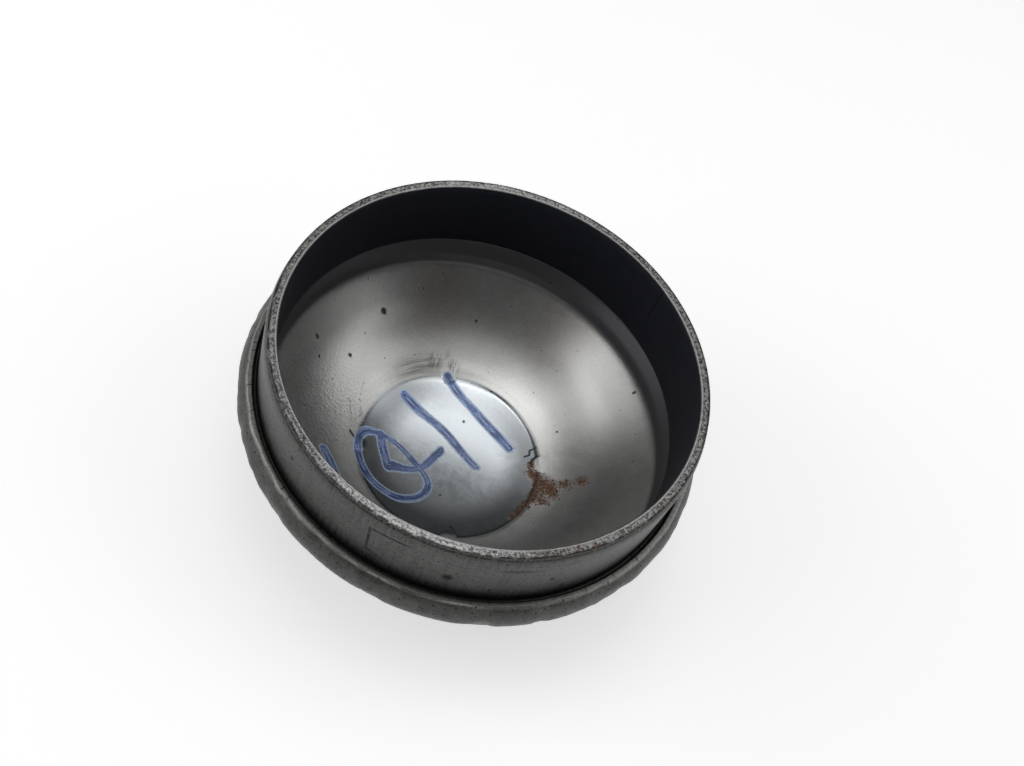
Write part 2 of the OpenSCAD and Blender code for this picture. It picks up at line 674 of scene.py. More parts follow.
class Finish:
    """A procedural material under construction, with millimetre coordinates on the object."""

    def __init__(self, name: str) -> None:
        """Starts a material with one Principled shader.

        Args:
            name: The material's name.
        """
        self.material = bpy.data.materials.new(name)
        self.material.use_nodes = True
        self.tree = self.material.node_tree
        self.tree.nodes.clear()
        self.shader = self.node("ShaderNodeBsdfPrincipled")
        self.node("ShaderNodeOutputMaterial", None, {"Surface": self.shader.outputs[0]})
        coordinates = self.node("ShaderNodeTexCoord")
        self.place = self.vectors("SCALE", coordinates.outputs["Object"], 1 / MM).outputs[0]
        split = self.node("ShaderNodeSeparateXYZ", None, {0: self.place})
        self.x, self.y, self.z = (Wire(self.tree, s) for s in split.outputs)
        self.r = (self.x * self.x + self.y * self.y).root()
        self.turn = self.y.heading(self.x)
        self.plan = self.vector(self.x, self.y, 0.0)

    def node(
        self,
        kind: str,
        settings: dict[str, object] | None = None,
        inputs: dict[str | int, object] | None = None,
    ) -> bpy.types.Node:
        """Adds one node to the material."""
        return add_node(self.tree, kind, settings, inputs)

    def stored(self, name: str) -> Wire:
        """Reads a number that the mesh carries."""
        return Wire(self.tree, self.node("ShaderNodeAttribute", {"attribute_name": name}).outputs["Fac"])

    def seeded(self, seed: float, across: Sequence[Wire] | None) -> bpy.types.NodeSocket:
        """Moves a texture's coordinates by its seed.

        Args:
            seed: A fixed seed.
            across: Two wires used as flat coordinates in place of the object's own.

        Returns:
            The coordinates.
        """
        if across:
            return self.vector(across[0] + seed, across[1], 0.0)
        return self.vectors("ADD", self.place, (seed * 13.7, seed * 7.3, seed * 3.1)).outputs[0]

    def noise(
        self,
        scale: float,
        seed: float,
        detail: float,
        rough: float = 0.5,
        across: Sequence[Wire] | None = None,
    ) -> Wire:
        """Noise over the piece.

        Args:
            scale: Cycles per millimetre.
            seed: A fixed seed.
            detail: Octaves.
            rough: How strong the finer octaves are.
            across: Two wires used as flat coordinates in place of the object's own.

        Returns:
            Noise around 0.5.
        """
        settings = {"noise_dimensions": "2D" if across else "3D"}
        place = self.seeded(seed, across)
        inputs = {"Vector": place, "Scale": scale, "Detail": detail, "Roughness": rough}
        return Wire(self.tree, self.node("ShaderNodeTexNoise", settings, inputs).outputs[0])

    def grains(self, scale: float, seed: float, across: Sequence[Wire]) -> Wire:
        """Distance to the nearest of scattered points.

        Args:
            scale: Points per millimetre.
            seed: A fixed seed.
            across: Two wires used as flat coordinates.

        Returns:
            The distance, in cells.
        """
        inputs = {"Vector": self.seeded(seed, across), "Scale": scale}
        node = self.node("ShaderNodeTexVoronoi", {"voronoi_dimensions": "2D"}, inputs)
        return Wire(self.tree, node.outputs["Distance"])

    def vector(self, x: object, y: object, z: object) -> bpy.types.NodeSocket:
        """Joins three numbers."""
        return self.node("ShaderNodeCombineXYZ", None, {0: x, 1: y, 2: z}).outputs[0]

    def vectors(self, operation: str, first: object, second: object) -> bpy.types.Node:
        """Adds one Vector Math node."""
        place = "Scale" if operation == "SCALE" else 1
        return self.node("ShaderNodeVectorMath", {"operation": operation}, {0: first, place: second})

    def dot(self, first: object, second: object) -> Wire:
        """Dot product of two vectors."""
        return Wire(self.tree, self.vectors("DOT_PRODUCT", first, second).outputs["Value"])

    def far(self, spot: Pair, on: bpy.types.NodeSocket | None = None) -> Wire:
        """Distance from a spot.

        Args:
            spot: The spot in millimetres.
            on: Flat coordinates to measure in, the plan unless given.

        Returns:
            Millimetres.
        """
        return Wire(self.tree, self.vectors("DISTANCE", on or self.plan, (*spot, 0.0)).outputs["Value"])

    def spotted(self, *spots: Spot, on: bpy.types.NodeSocket | None = None) -> Wire:
        """Adds up soft spots, each of which falls smoothly to 0 at its reach.

        Args:
            spots: The spots.
            on: Flat coordinates that they lie in, the plan unless given.

        Returns:
            The sum.
        """
        total: Wire | None = None
        for spot in spots:
            share = self.far((spot.x, spot.y), on).rise(spot.reach, 0.0) * spot.strength
            total = share if total is None else total + share
        return total

    def stroke(self, points: Line, on: bpy.types.NodeSocket | None = None) -> Wire:
        """Distance from a line through points.

        Args:
            points: The line's points in millimetres.
            on: Flat coordinates to measure in, the plan unless given.

        Returns:
            Millimetres.
        """
        least: Wire | None = None
        for a, b in zip(points, points[1:]):
            run = (b[0] - a[0], b[1] - a[1], 0.0)
            square = run[0] ** 2 + run[1] ** 2
            away = self.vectors("SUBTRACT", on or self.plan, (*a, 0.0)).outputs[0]
            share = self.dot(away, tuple(v / square for v in run))
            foot = self.vectors("SCALE", run, share.unit()).outputs[0]
            far = Wire(self.tree, self.vectors("DISTANCE", away, foot).outputs["Value"])
            least = far if least is None else least.least(far)
        return least

    def oval(self, centre: Pair, reach: Pair, turn: float, on: bpy.types.NodeSocket) -> Wire:
        """Distance from an oval line, about in millimetres.

        Args:
            centre: The oval's centre.
            reach: Its half length and half width.
            turn: Its long side's direction in degrees.
            on: Flat coordinates to measure in.

        Returns:
            Millimetres.
        """
        away = self.vectors("SUBTRACT", on, (*centre, 0.0)).outputs[0]
        c, s = math.cos(math.radians(turn)), math.sin(math.radians(turn))
        along = self.dot(away, (c / reach[0], s / reach[0], 0.0))
        beside = self.dot(away, (-s / reach[1], c / reach[1], 0.0))
        return ((along * along + beside * beside).root() - 1).size() * ((reach[0] + reach[1]) / 2)

    def blend(self, under: object, over: object, share: object) -> bpy.types.NodeSocket:
        """Mixes two colours, share 0 to 1."""
        return blend(self.tree, under, over, share)

    def scaled(self, colour: object, factor: Wire) -> bpy.types.NodeSocket:
        """Multiplies a colour by a number."""
        return self.vectors("SCALE", colour, factor).outputs[0]

    def relief(self, height: Wire, depth: float) -> bpy.types.NodeSocket:
        """Bends the normal by a height from 0 to 1, where 1 is the depth in millimetres."""
        return self.node("ShaderNodeBump", None, {"Distance": depth * MM, "Height": height}).outputs[0]


@dataclass(frozen=True)
class RustPatch:
    """Where the rust is: spots by the pad's edge."""

    spots: tuple[Spot, ...] = (
        Spot(12.5, 4.3, 1.1),
        Spot(13.1, 3.0, 1.5),
        Spot(14.6, 2.2, 2.0),
        Spot(15.2, 0.5, 2.2),
        Spot(14.7, -1.3, 1.7),
        Spot(16.6, 1.7, 2.0),
        Spot(17.3, 0.2, 1.5),
        Spot(16.3, -1.5, 1.1),
        Spot(18.4, 2.5, 1.3),
        Spot(20.4, 3.6, 1.4),
        Spot(13.9, -2.8, 1.1),
        Spot(13.4, -3.9, 0.9),
        Spot(13.1, -4.9, 0.9),
        Spot(12.6, -5.8, 0.8),
    )


def linear(red: int, green: int, blue: int) -> Colour:
    """Turns a display colour of 0 to 255 into linear light."""
    parts = (v / 255 for v in (red, green, blue))
    return tuple(v / 12.92 if v <= 0.04045 else ((v + 0.055) / 1.055) ** 2.4 for v in parts)


@dataclass(frozen=True)
class Tones:
    """Colours of the cap, as linear red, green and blue."""

    dome: Colour = linear(198, 198, 196)
    pad: Colour = linear(214, 220, 224)
    # Painted shade: the band and the bore are the same steel, darkened.
    band: Colour = linear(110, 110, 113)
    bore: Colour = linear(50, 51, 59)
    # Painted dark reflection: the outside is the same steel, darkened.
    outside: Colour = linear(79, 79, 78)
    # Painted highlight along the seat's edge.
    seat_highlight: Colour = linear(140, 140, 137)
    sheared: Colour = linear(176, 176, 175)
    # Colour of the painted highlights on the mouth.
    bright: Colour = linear(232, 232, 231)
    # Dark grime, also used as painted shade in the root groove, the lug crevices and under the mouth's burr.
    grime_and_shade: Colour = linear(26, 24, 23)
    warm: Colour = linear(176, 160, 153)
    rust: Colour = linear(126, 80, 44)
    rust_dark: Colour = linear(48, 29, 17)
    rust_pale: Colour = linear(176, 126, 78)
    ink: Colour = linear(90, 114, 174)
    ink_pale: Colour = linear(184, 204, 232)
    ink_dark: Colour = linear(34, 42, 88)


@dataclass
class SteelFinish:
    """Drawn sheet steel with a bore darkened by painted shade, a sheared mouth, rust by the pad and a pen
    mark.

    Places are in plan, but those on the skirt, which are along it from +X and up it.
    """

    sizes: CapSizes
    tones: Tones = field(default_factory=Tones)
    # Pen strokes, the ring's middle, half axes and turn, and half the strokes' width.
    pen: tuple[Line, ...] = (
        ((-4.9, 13.2), (1.6, 9.6), (8.7, 5.6)),
        ((-10.4, 7.2), (-3.2, 4.2), (4.6, 0.4)),
        ((-10.6, -1.6), (-7.4, -6.4), (-1.0, 0.2)),
        ((-17.2, -9.6), (-15.2, -11.2), (-13.4, -13.0)),
    )
    pen_ring: tuple[Pair, Pair, float] = ((-6.9, -6.1), (6.5, 4.0), -22.0)
    pen_half: float = 0.80
    # Dark specks on the inside.
    specks: tuple[Spot, ...] = (
        Spot(-18.6, 16.4, 0.62),
        Spot(-25.8, 5.6, 0.40),
        Spot(-20.4, 7.5, 0.42),
        Spot(2.3, 14.1, 0.22),
        Spot(0.2, 7.2, 0.34),
        Spot(1.3, -6.9, 0.28),
        Spot(22.5, 17.8, 0.30),
        Spot(14.3, 11.1, 0.24),
        Spot(-24.3, 3.5, 0.25),
        Spot(-4.5, 22.9, 0.22),
    )
    scratches: tuple[Line, ...] = (
        ((-16.8, 5.6), (-16.2, 2.4), (-14.9, 0.2), (-15.6, -1.9)),
        ((-17.9, 1.6), (-16.4, -0.6), (-15.4, -3.2)),
    )
    # Painted shadow in the crevices at three lugs, and smudges brushed outwards from the far one.
    right_lug_shadow: Line = ((11.1, 5.4), (11.7, 6.0), (11.5, 6.8), (12.2, 7.6))
    near_lug_shadow: Line = ((2.4, -13.0), (2.8, -11.9), (3.6, -11.4), (4.7, -11.4), (5.7, -12.1))
    left_lug_shadow: Line = ((-15.3, -3.6), (-14.2, -4.3))
    smudges: tuple[Spot, ...] = (Spot(-8.1, 14.7, 1.9), Spot(-4.9, 15.3, 1.6), Spot(-6.5, 16.4, 1.6, 0.4))
    # Where the pad's finish is rubbed off, where its ring is dull, and where the painted dark reflection on
    # the pad's near side is left out.
    rubbed_off: Spot = Spot(-12.0, 12.0, 9.0, 0.5)
    dull_ring: Spot = Spot(-10.4, 13.2, 8.5)
    clear_of_reflection: tuple[Spot, ...] = (Spot(-0.5, 15.5, 16.0), Spot(-13.0, 4.0, 7.5, 0.3))
    # Warm tints far up on the dome, and its flank with the strongest orange peel.
    warm: tuple[Spot, ...] = (Spot(-11.5, 22.5, 7.5), Spot(8.5, 25.5, 8.0, 0.8))
    peeled: Spot = Spot(-22.0, -4.0, 18.0, 1.7)
    # Stretches of the mouth that catch the light.
    lit_rim: tuple[Spot, ...] = (Spot(-9.0, 29.0, 24.0, 0.65), Spot(0.0, -31.0, 20.0))
    # On the skirt: dark spots, a scratched hook and a smear under the mouth.
    skirt_spots: tuple[Spot, ...] = (
        Spot(-42.6, 24.2, 1.15),
        Spot(-29.0, 25.0, 0.5),
        Spot(-26.8, 22.2, 0.6),
        Spot(-36.7, 22.4, 0.4),
        Spot(-68.0, 26.6, 0.5),
    )
    hook: Line = ((-51.4, 22.3), (-53.6, 22.9), (-53.9, 28.2), (-48.5, 28.7))
    smear: Spot = Spot(-33.0, 28.65, 11.0)

    def build(self) -> bpy.types.Material:
        """Makes the material.

        Returns:
            The steel.
        """
        f = Finish("drawn_steel")
        inside, rim = f.stored("inside"), f.stored("rim")
        outside = (1 - inside).unit()
        self.mottle = f.noise(0.55, 7.7, 2.0, 0.70)
        self.fine = f.noise(3.2, 1.9, 1.0, 0.6)
        self.tear = f.noise(2.6, 2.3, 2.0, 0.75)
        self.grit = f.noise(6.0, 9.0, 1.0, 0.7)

        colour, lift, rough = self.inside_face(f, inside)
        colour, lift, rough = self.outside_face(f, outside, colour, lift, rough)
        colour, rough = self.stains_and_shade(f, inside, colour, rough)
        colour, lift, rough = self.mouth_face(f, rim, colour, lift, rough)
        colour, metal, lift, rough = self.rusted(f, rim, colour, lift, rough)
        colour, metal, rough = self.inked(f, inside, colour, metal, rough)

        join(f.tree, colour, f.shader.inputs["Base Color"])
        join(f.tree, rough.unit(), f.shader.inputs["Roughness"])
        join(f.tree, metal.unit(), f.shader.inputs["Metallic"])
        join(f.tree, f.relief(lift, 0.05), f.shader.inputs["Normal"])
        return f.material

    def inside_face(self, f: Finish, inside: Wire) -> tuple[object, Wire, Wire]:
        """Bright dome and pad, with the band above them and the bore darkened by painted shade.

        Args:
            f: The material.
            inside: 1 on the inside.

        Returns:
            Colour, height and roughness.
        """
        s, t = self.sizes, self.tones
        bore = (inside * f.z.rise(s.bore_end[1] - 0.9, s.bore_end[1] - 0.2)).unit()
        band = (inside * f.z.rise(s.dome_edge[1] - 0.45, s.dome_edge[1] + 0.7)).unit()
        floor = inside * f.z.rise(s.pad_top_z, s.pad_edge[1]) * f.r.rise(s.pad_r + 0.1, s.pad_r - 0.3)
        cloud = f.noise(0.09, 3.1, 1.0)
        colour = f.blend(t.dome, t.pad, floor * (1 - self.mottle * f.spotted(self.rubbed_off)))
        colour = f.blend(colour, t.warm, f.spotted(*self.warm) * (inside * 0.4))
        # Ring rubbed round the pad's edge: bright, but dull and streaked on its far left.
        streaks = f.noise(1.0, 6.1, 2.0, 0.7, (f.r * 2.6, f.turn * 1.6))
        ring = f.r.rise(s.pad_r - 0.5, s.pad_r + 0.4) * f.r.rise(s.pad_r + 4.4, s.pad_r + 2.0) * inside
        dull = f.spotted(self.dull_ring)
        tone = 1 + (self.mottle - 0.5) * 0.22 + (cloud - 0.5) * 0.25 + (self.fine - 0.5) * 0.24
        tone = tone + ring * (0.16 - dull * 0.62) - ring * (streaks - 0.5) * (0.2 + dull * 0.9)
        # A painted dark reflection inside the pad's edge, left out over its far side and partly on its left.
        reflection_band = (f.r + (self.mottle - 0.5) * 2.4).rise(7.4, 12.4)
        dark_reflection = floor * reflection_band * (1 - f.spotted(*self.clear_of_reflection).unit())
        colour = f.scaled(colour, tone * (1 - dark_reflection * 0.68))
        # Painted shade: the band and the bore are darker copies of the same steel.
        colour = f.blend(colour, t.band, band)
        colour = f.blend(colour, f.scaled(t.bore, 0.8 + self.mottle * 0.4), bore)
        # Orange peel of the drawn dome.
        peel = f.noise(2.1, 8.0, 1.0, 0.55) * (f.spotted(self.peeled) + 0.30)
        lift = peel * (1 - floor * 0.9) * 0.44 + self.fine * (0.22 - floor * 0.205)
        rough = 0.34 + (self.mottle - 0.5) * 0.08 + (self.fine - 0.5) * 0.05
        return colour, lift, rough - floor * 0.17 + bore * 0.25 + band * 0.05

    def outside_face(
        self, f: Finish, outside: Wire, colour: object, lift: Wire, rough: Wire
    ) -> tuple[object, Wire, Wire]:
        """Outside darkened by painted dark reflection, with upright drawing lines, painted shade in the root
        groove and a few dark spots.

        Args:
            f: The material.
            outside: 1 on the outside.
            colour: Colour so far.
            lift: Height so far.
            rough: Roughness so far.

        Returns:
            Colour, height and roughness.
        """
        s, t = self.sizes, self.tones
        wall = f.vector(f.turn * s.skirt_r, f.z, 0.0)
        skirt = outside * f.z.rise(s.seat_z - 0.3, s.seat_z + 0.2)
        drawn = f.noise(1.0, 5.0, 2.0, 0.72, (f.turn * 70.0, f.z * 0.13))
        level = f.noise(1.0, 15.0, 2.0, 0.6, (f.turn * 3.0, f.z * 2.4))
        tone = 0.96 + (self.mottle - 0.5) * 0.7 + (self.grit - 0.5) * 0.9 + (self.tear - 0.5) * 0.8
        tone = tone + skirt * ((drawn - 0.5) * 1.0 + (level - 0.5) * 0.3)
        # Painted dark reflection darkens the outside's steel.
        face = f.scaled(t.outside, tone.most(0.15))
        # Painted highlight along the seat's edge.
        seat_highlight = f.r.rise(s.skirt_r + 0.6, s.skirt_r + 0.95) * f.z.rise(s.seat_z - 0.45, s.seat_z - 0.05)
        face = f.blend(face, t.seat_highlight, outside * seat_highlight * (0.62 + self.tear.rise(0.36, 0.60) * 0.38))
        # Painted shade in the root groove, a ragged dark line just below the lead-in, and grime in spots.
        groove = f.r.bump(s.skirt_r + s.groove_w / 2, s.groove_w - 0.22) * f.z.bump(s.seat_z - 0.3, 0.9)
        lead = (f.z + (drawn - 0.5) * 0.5).bump(s.mouth_z - 0.45, 0.34) * self.tear.rise(0.36, 0.52)
        smear = f.z.bump(self.smear.y, 1.5) * f.spotted(self.smear, on=wall) * level.rise(0.52, 0.64)
        spots = f.spotted(*self.skirt_spots, on=wall) * self.grit.rise(0.25, 0.42)
        hooked = f.stroke(self.hook, wall).rise(0.30, 0.08) * self.mottle.rise(0.30, 0.52)
        pits = f.grains(0.75, 4.4, (f.turn * s.skirt_r, f.z)).rise(0.13, 0.06)
        pits = pits * (0.5 + self.mottle.rise(0.45, 0.6) * 0.5)
        on_skirt = skirt * (lead * 0.78 + smear * 0.75 + hooked * 0.8)
        dirt = (on_skirt + outside * (groove * 1.1 + spots * 1.4 + pits * 0.8)).unit()
        face = f.blend(face, t.grime_and_shade, dirt)
        lift = lift + outside * (self.tear * 0.7 + skirt * drawn * 0.5)
        rough = rough + outside * (0.08 + (drawn - 0.5) * 0.15) + dirt * 0.2
        return f.blend(colour, face, outside), lift, rough

    def stains_and_shade(self, f: Finish, inside: Wire, colour: object, rough: Wire) -> tuple[object, Wire]:
        """Specks, scratches, and painted shadow in the crevices at the lugs.

        Args:
            f: The material.
            inside: 1 on the inside.
            colour: Colour so far.
            rough: Roughness so far.

        Returns:
            Colour and roughness.
        """
        s, t = self.sizes, self.tones
        ragged = (self.fine - 0.5) * 0.5
        dust = f.grains(0.30, 14.4, (f.x, f.y)).rise(0.050, 0.02) * self.mottle.rise(0.50, 0.60)
        marks = dust * f.r.rise(s.pad_r, s.pad_r + 1.0) * 0.8
        for speck in self.specks:
            spot = (f.far((speck.x, speck.y)) + ragged).rise(speck.reach, speck.reach * 0.45)
            marks = marks.most(spot)
        for line in self.scratches:
            cut = (f.stroke(line) + (self.mottle - 0.5) * 0.9).size().rise(0.15, 0.04)
            marks = marks.most(cut * self.fine.rise(0.35, 0.6) * 0.55)
        # Painted shadow in the crevices at the lugs.
        marks = marks.most((f.stroke(self.right_lug_shadow) + ragged * 0.15).rise(0.24, 0.06))
        near_lug_shadow = (f.stroke(self.near_lug_shadow) + ragged * 0.15).rise(0.26, 0.06)
        marks = marks.most(near_lug_shadow * self.mottle.rise(0.36, 0.5)).most(f.stroke(self.left_lug_shadow).rise(0.30, 0.10))
        brushed = f.noise(1.0, 9.3, 2.0, 0.7, (f.x * 2.2 + f.y * 0.5, f.y * 0.5))
        marks = marks.most(f.spotted(*self.smudges) * brushed.rise(0.36, 0.60) * 0.75)
        # A broken dark line along the pad's edge at its far right.
        line = f.r.bump(s.pad_edge[0] + 0.1, 0.24) * f.turn.bump(0.72, 0.62) * self.mottle.rise(0.3, 0.5)
        marks = marks.most(line * 0.8) * inside
        return f.blend(colour, t.grime_and_shade, marks * 0.88), rough + marks * 0.15

    def mouth_face(
        self, f: Finish, rim: Wire, colour: object, lift: Wire, rough: Wire
    ) -> tuple[object, Wire, Wire]:
        """Sheared face of the mouth: torn grain, dark pits, a fine dark split, painted shadow under the outer
        burr and painted highlights.

        Args:
            f: The material.
            rim: 1 on the mouth's face.
            colour: Colour so far.
            lift: Height so far.
            rough: Roughness so far.

        Returns:
            Colour, height and roughness.
        """
        s, t = self.sizes, self.tones
        torn = f.noise(1.0, 22.0, 2.0, 0.75, (f.turn * 26.0, f.r * 1.3))
        lit = 0.55 + f.spotted(*self.lit_rim)
        face = f.scaled(t.sheared, (0.45 + torn * 0.5 + (self.tear - 0.5) * 1.1) * lit)
        # Painted highlight: glints on the torn grain, stronger on the lit stretches.
        glint = self.tear.rise(0.44, 0.56) * lit * f.r.bump(s.bore_r + 0.75, 0.7)
        face = f.blend(face, t.bright, glint.unit() * 0.85)
        edge = f.r + (torn - 0.5) * 0.8
        # Painted shadow under the burr along the outer edge.
        outer = edge.rise(s.skirt_r - 0.70, s.skirt_r - 0.45) * torn.rise(0.34, 0.48)
        split = edge.bump(s.skirt_r - 1.05, 0.10) * self.mottle.rise(0.44, 0.54)
        pits = self.grit.rise(0.40, 0.34) * self.tear.rise(0.50, 0.40)
        # Painted highlight: a bright line along the inner edge.
        face = f.blend(face, t.bright, f.r.bump(s.bore_r + 0.24, 0.17) * 0.7)
        face = f.blend(face, t.grime_and_shade, (pits * 0.8 + outer * 0.8 + split * 0.7).unit())
        colour = f.blend(colour, face, rim)
        return colour, lift * (1 - rim) + rim * self.tear * 3.4, rough + rim * 0.08

    def rusted(
        self, f: Finish, rim: Wire, colour: object, lift: Wire, rough: Wire
    ) -> tuple[object, Wire, Wire, Wire]:
        """Crumbly rust that spreads from the pad's edge, and a tint on the mouth near it.

        Args:
            f: The material.
            rim: 1 on the mouth's face.
            colour: Colour so far.
            lift: Height so far.
            rough: Roughness so far.

        Returns:
            Colour, how metallic, height and roughness.
        """
        t = self.tones
        weight = f.stored("rust")
        crumbs = f.noise(3.4, 31.0, 2.0, 0.9)
        spread = weight * 0.95 + (crumbs - 0.5) * 3.6 + (self.grit - 0.5) * 2.6 - 0.46
        rust = spread.rise(-0.1, 0.6) * weight.rise(0.0, 0.12)
        on_rim = rim * f.turn.bump(-0.75, 0.55) * self.mottle.rise(0.45, 0.62) * 0.5
        body = f.blend(t.rust, t.rust_dark, crumbs.rise(0.40, 0.60) * 0.9)
        body = f.blend(body, t.rust_pale, self.grit.rise(0.52, 0.66) * 0.5)
        colour = f.blend(colour, t.rust, weight.rise(0.05, 1.0) * (0.25 + self.fine * 0.5))
        share = rust.most(on_rim)
        colour = f.blend(colour, body, share * 0.92)
        lift = lift + weight.rise(0.1, 0.8) * self.tear * 0.8
        return colour, 0.92 - share * 0.85, lift, rough + share * 0.4

    def inked(
        self, f: Finish, inside: Wire, colour: object, metal: Wire, rough: Wire
    ) -> tuple[object, Wire, Wire]:
        """Plain pen strokes and a ring, streaked along their length and pale where the ink drew back.

        Args:
            f: The material.
            inside: 1 on the inside.
            colour: Colour so far.
            metal: How metallic so far.
            rough: Roughness so far.

        Returns:
            Colour, how metallic and roughness.
        """
        t = self.tones
        wobble = (f.noise(0.13, 41.0, 0.0, 0.5, (f.x, f.y)) - 0.5) * 2.6
        hand = f.vector(f.x + wobble, f.y - wobble, 0.0)
        least = f.oval(*self.pen_ring, hand)
        for line in self.pen:
            least = least.least(f.stroke(line, hand))
        half = self.pen_half
        streak = f.noise(1.0, 47.0, 2.0, 0.6, (least * 4.5, (f.x - f.y) * 0.30))
        ragged = least + (self.fine - 0.5) * 0.14 + (self.mottle - 0.5) * 0.20
        ink = ragged.rise(half + 0.07, half - 0.05) * inside
        body = f.blend(t.ink, t.ink_pale, streak.rise(0.50, 0.64) * 0.65)
        body = f.blend(body, t.ink_dark, streak.rise(0.50, 0.38) * 0.75)
        body = f.blend(body, t.ink_pale, ragged.bump(half - 0.08, 0.26))
        return f.blend(colour, body, ink * 0.90), metal - ink * 0.45, rough + ink * 0.10


@dataclass
class Shell:
    """The pressed cup, turned from its outline."""

    sizes: CapSizes
    parts_round: int = 512
    # Radii between which the lugs pull the pad's floor and the dome's foot.
    floor_pull_start: float = 12.2
    dome_pull_end: float = 17.0
    # Depth of the mouth's torn grain and of the bead's dents.
    tear_depth: float = 0.07
    dent_depth: float = 0.36
    # How far the dome's edge is sunk, where that starts, and where it ends on the shoulder.
    edge_sink: float = 0.30
    edge_start: float = 26.0
    sink_end: float = 2.2
    # Half width of the pad's rubbed step, and the direction it is rubbed at, in degrees.
    soft_reach: float = 1.6
    soft_turn: float = 140.0
    # Rings on the dome and on the pad's floor.
    dome_rings: int = 40
    floor_rings: tuple[float, ...] = (11.5, 10.8, 9.6, 8.4, 7.2, 6.0, 4.8, 3.6, 2.4, 1.2, 0.0)
    patch: RustPatch = RustPatch()

    def outline(self) -> list[Ring]:
        """Lists the rings from the middle of the pad's underside, over the mouth, to its inside.

        Returns:
            The rings in order.
        """
        s = self.sizes
        o = Outline()
        # Underside of the pad and its step.
        o.add(0.0, 0.0)
        o.add(2.5, 0.0)
        o.add(8.0, 0.0)
        o.corner((s.foot_r, 0.0), (s.foot_r + s.pad_slope, s.pad_top_z), s.pad_foot_r, 5)
        out_r = s.dome_r + s.sheet
        # The step's outside meets the dome's outside.
        slope = s.pad_slope / s.pad_top_z
        meet = s.foot_r
        for _ in range(20):
            meet = s.foot_r + slope * (s.dome_c[1] - math.sqrt(out_r**2 - (meet - s.dome_c[0]) ** 2))
        first = math.acos((meet - s.dome_c[0]) / out_r)
        o.line((meet, s.dome_c[1] - out_r * math.sin(first)), 2)
        o.arc(s.dome_c, out_r, -first, heading(s.dome_c, s.shoulder), 18)
        bead_low = touch(s.shoulder, s.bead_c, s.bead_r, -1)
        o.line(bead_low, 4)
        seat_turn = math.asin(s.bead_drop / s.bead_r)
        o.arc(s.bead_c, s.bead_r, heading(s.bead_c, bead_low), seat_turn - 0.05, 14, bead=1.0)
        edge = s.bead_c[0] + s.bead_r * math.cos(seat_turn)
        o.add(edge - 0.06, s.seat_z)
        # Seat and root groove.
        g = s.groove_w / 2
        o.line((s.skirt_r + s.groove_w, s.seat_z), 3)
        o.arc((s.skirt_r + g, s.seat_z - s.groove_depth + g), g, 0.0, -math.pi, 7)
        # Skirt, lead-in and mouth.
        o.line((s.skirt_r, s.mouth_z - s.lead_h), 7)
        o.line((s.skirt_r - s.lead_w + 0.02, s.mouth_z - 0.10), 3, rim=0.0)
        o.add(s.skirt_r - s.lead_w - 0.01, s.mouth_z - 0.03, rim=0.6)
        o.add(s.skirt_r - s.lead_w - 0.09, s.mouth_z, rim=1.0)
        o.line((s.bore_r + s.mouth_break * 1.4, s.mouth_z), 10, rim=1.0)
        o.add(s.bore_r + 0.07, s.mouth_z - 0.05, rim=0.7, inside=1.0)
        o.add(s.bore_r, s.mouth_z - s.mouth_break - 0.05, inside=1.0)
        # Bore, bulge and shoulder.
        o.line((s.bore_r, s.bore_end[1] + 1.2), 7, inside=1.0)
        high = touch(s.bore_end, s.bulge_c, s.bulge_r, 1)
        o.corner(s.bore_end, high, s.bore_end_r, 6, inside=1.0)
        low = touch(s.dome_edge, s.bulge_c, s.bulge_r, -1)
        o.arc(s.bulge_c, s.bulge_r, heading(s.bulge_c, high), heading(s.bulge_c, low), 7, inside=1.0)
        slant = heading(s.dome_edge, low)
        start = self.sink_end + 0.2
        above = (s.dome_edge[0] + start * math.cos(slant), s.dome_edge[1] + start * math.sin(slant))
        o.line(above, 5, inside=1.0)
        # The shoulder's foot sinks with the dome's edge.
        for i in range(10):
            share = 1 - i / 10
            along = self.sink_end * share
            sink = self.edge_sink * (1 - share) ** 2 * (1 + 2 * share)
            o.add(
                s.dome_edge[0] + along * math.cos(slant) + sink * math.sin(slant),
                s.dome_edge[1] + along * math.sin(slant) - sink * math.cos(slant),
                inside=1.0,
            )
        # Dome, a little flatter towards its edge, then the pad's step.
        start, end = s.dome_edge[0], s.pad_r
        for i in range(self.dome_rings + 1):
            r = start + (end - start) * i / self.dome_rings
            turn = math.asin((r - s.dome_c[0]) / s.dome_r)
            sink = self.edge_sink * max(0.0, (r - self.edge_start) / (start - self.edge_start)) ** 2
            reach = s.dome_r + sink
            pull = max(0.0, min(1.0, (self.dome_pull_end - r) / (self.dome_pull_end - s.pad_r)))
            x, z = s.dome_c[0] + reach * math.sin(turn), s.dome_c[1] - reach * math.cos(turn)
            o.add(x, z, inside=1.0, dome_pull=pull)
        foot, low = s.pad_edge
        o.add(s.pad_r - 0.10, s.pad_top_z - 0.06, inside=1.0, dome_pull=1.0)
        o.line((foot + 0.10, low + 0.08), 3, inside=1.0, floor_pull=1.0)
        o.add(foot, low + 0.01, inside=1.0, floor_pull=1.0)
        for i in range(1, 9):
            r = foot - 0.12 - (foot - 0.12 - self.floor_pull_start) * i / 8
            pull = (r - self.floor_pull_start) / (foot - self.floor_pull_start)
            o.add(r, s.sheet + s.pad_dish * (r / foot) ** 2, inside=1.0, floor_pull=pull)
        for r in self.floor_rings:
            o.add(r, s.sheet + s.pad_dish * (r / foot) ** 2, inside=1.0)
        for ring in o.rings:
            if ring.inside and s.pad_r - self.soft_reach < ring.r < s.pad_r + self.soft_reach:
                ring.soft = (self.softened(ring.r) - ring.z) * MM
        return o.rings

